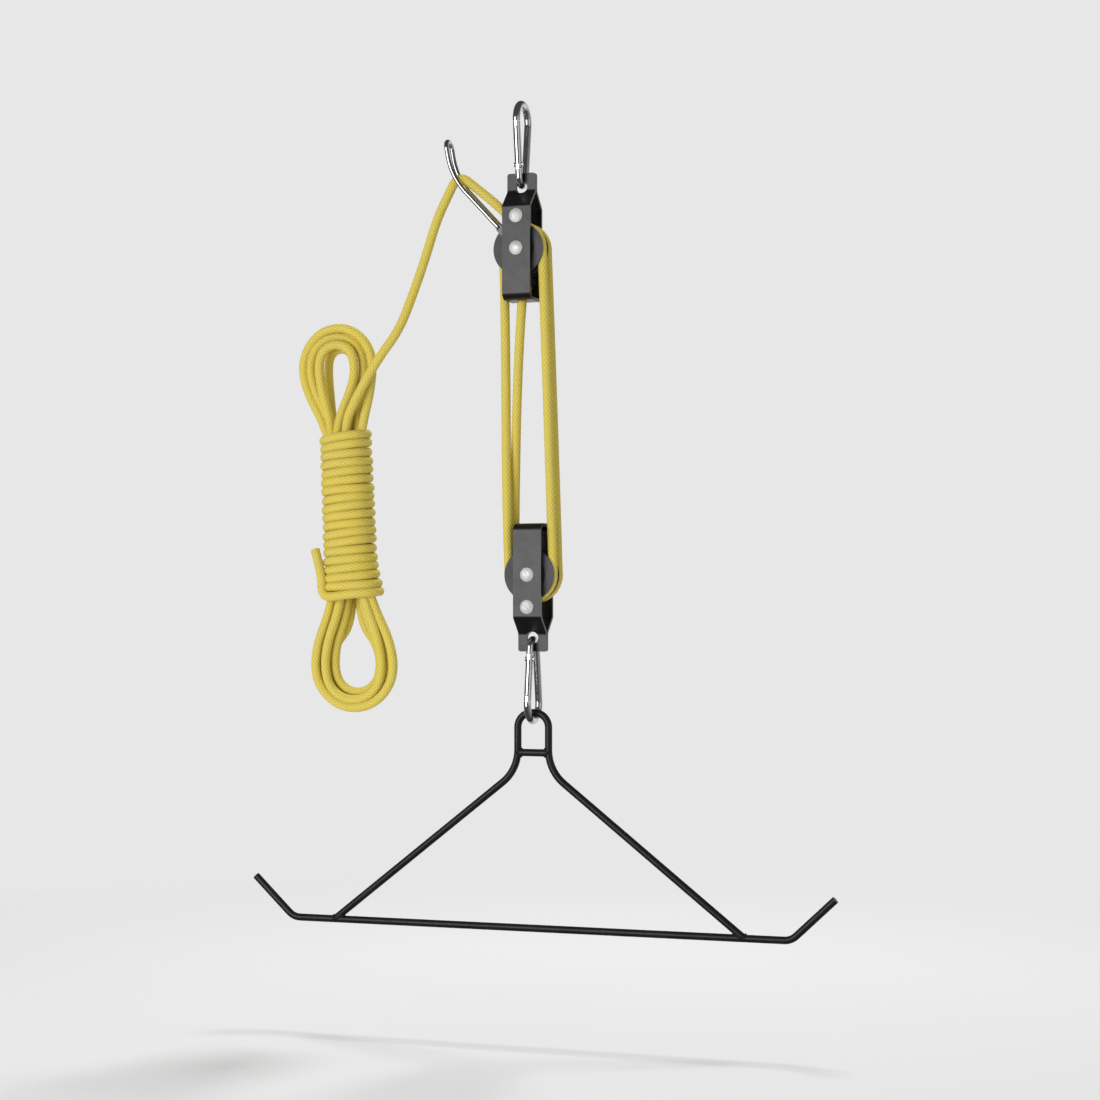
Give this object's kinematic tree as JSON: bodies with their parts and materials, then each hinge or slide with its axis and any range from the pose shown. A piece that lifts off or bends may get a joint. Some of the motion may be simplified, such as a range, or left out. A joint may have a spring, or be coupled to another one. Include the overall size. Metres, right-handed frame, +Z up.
{
  "type": "block and tackle",
  "caption": "Rope hoist with paired double-sheave blocks, spring snap hooks, a rope lock bail, a hank of spare rope and a welded gambrel hanging below.",
  "frame": {"origin": "inside of the upper snap hook's crown, where the hoist hangs", "axes": "+Z up, +X to the right with the front strap plates facing -Y"},
  "size_m": [0.5318, 0.0433, 0.7143],
  "materials": {
    "chrome_wire": "bright plated",
    "strap_paint": "satin",
    "zinc_steel": "zinc plated",
    "bright_steel": "plain",
    "sheave_plastic": "moulded",
    "rope_braid": "braided",
    "gambrel_paint": "satin"
  },
  "bodies": {
    "upper_snap": {"upper_snap_hook": "chrome_wire", "upper_snap_gate_pin": "chrome_wire"},
    "upper_gate": {"upper_snap_gate": "chrome_wire"},
    "upper_block": {"upper_strap": "strap_paint", "upper_axle_rivet": "zinc_steel", "upper_keeper_rivet": "zinc_steel", "upper_axle_tube": "bright_steel", "rope_becket_knot": "rope_braid", "rope_dead_strand": "rope_braid", "rope_right_back_strand": "rope_braid", "rope_upper_back_wrap": "rope_braid", "rope_left_strand": "rope_braid", "rope_right_front_strand": "rope_braid", "rope_upper_front_wrap": "rope_braid", "rope_tail": "rope_braid", "rope_hank_loops": "rope_braid", "rope_hank_wrap": "rope_braid"},
    "upper_front_wheel": {"upper_front_sheave": "sheave_plastic"},
    "upper_back_wheel": {"upper_back_sheave": "sheave_plastic"},
    "bail": {"rope_lock_bail": "chrome_wire"},
    "lower_block": {"lower_strap": "strap_paint", "lower_axle_rivet": "zinc_steel", "lower_keeper_rivet": "zinc_steel", "lower_axle_tube": "bright_steel", "lower_front_spacer": "bright_steel", "lower_middle_spacer": "bright_steel", "rope_lower_back_wrap": "rope_braid", "rope_lower_front_wrap": "rope_braid"},
    "lower_front_wheel": {"lower_front_sheave": "sheave_plastic"},
    "lower_back_wheel": {"lower_back_sheave": "sheave_plastic"},
    "lower_snap": {"lower_snap_hook": "chrome_wire", "lower_snap_gate_pin": "chrome_wire"},
    "lower_gate": {"lower_snap_gate": "chrome_wire"},
    "gambrel": {"gambrel_bar": "gambrel_paint", "gambrel_bow": "gambrel_paint", "gambrel_crossbar": "gambrel_paint"}
  },
  "joints": [
    {"name": "upper_gate_hinge", "type": "hinge", "parent": "upper_snap", "child": "upper_gate", "pos_m": [0, -0.00926, -0.0499], "axis": [-1, 0, 0], "range_deg": [0, 26], "stiffness_Nm_per_rad": 0.2, "springref_deg": -17.19},
    {"name": "upper_block_swing", "type": "hinge", "parent": "upper_snap", "child": "upper_block", "pos_m": [0, 0, -0.0664], "axis": [0, 1, 0], "range_deg": [-40, 40]},
    {"name": "upper_front_sheave_spin", "type": "hinge", "parent": "upper_block", "child": "upper_front_wheel", "pos_m": [0, 0, -0.12195], "axis": [0, -1, 0], "continuous": true},
    {"name": "upper_back_sheave_spin", "type": "hinge", "parent": "upper_block", "child": "upper_back_wheel", "pos_m": [0, 0, -0.12195], "axis": [0, -1, 0], "continuous": true},
    {"name": "bail_swing", "type": "hinge", "parent": "upper_block", "child": "bail", "pos_m": [0, 0, -0.12195], "axis": [0, 1, 0], "range_deg": [-52, 7]},
    {"name": "hoist_travel", "type": "slide", "parent": "upper_block", "child": "lower_block", "axis": [0, 0, 1], "range_m": [0, 0.15], "deforming": ["rope_dead_strand", "rope_right_back_strand", "rope_left_strand", "rope_right_front_strand"]},
    {"name": "lower_front_sheave_spin", "type": "hinge", "parent": "lower_block", "child": "lower_front_wheel", "pos_m": [0.01, 0, -0.40125], "axis": [0, -1, 0], "continuous": true},
    {"name": "lower_back_sheave_spin", "type": "hinge", "parent": "lower_block", "child": "lower_back_wheel", "pos_m": [0.01, 0, -0.40125], "axis": [0, -1, 0], "continuous": true},
    {"name": "lower_snap_swing", "type": "hinge", "parent": "lower_block", "child": "lower_snap", "pos_m": [0.01, 0, -0.4568], "axis": [0, 1, 0], "range_deg": [-36, 36]},
    {"name": "lower_gate_hinge", "type": "hinge", "parent": "lower_snap", "child": "lower_gate", "pos_m": [0.01, -0.00926, -0.4733], "axis": [1, 0, 0], "range_deg": [0, 26], "stiffness_Nm_per_rad": 0.2, "springref_deg": -17.19},
    {"name": "gambrel_swing", "type": "hinge", "parent": "lower_snap", "child": "gambrel", "pos_m": [0.01, 0, -0.51953], "axis": [1, 0, 0], "range_deg": [-60, 60]}
  ],
  "couplings": [
    {"joint": "lower_back_sheave_spin", "follows": "hoist_travel", "rad_per_m": 50},
    {"joint": "upper_back_sheave_spin", "follows": "hoist_travel", "rad_per_m": 100},
    {"joint": "lower_front_sheave_spin", "follows": "hoist_travel", "rad_per_m": 150},
    {"joint": "upper_front_sheave_spin", "follows": "hoist_travel", "rad_per_m": 200}
  ]
}
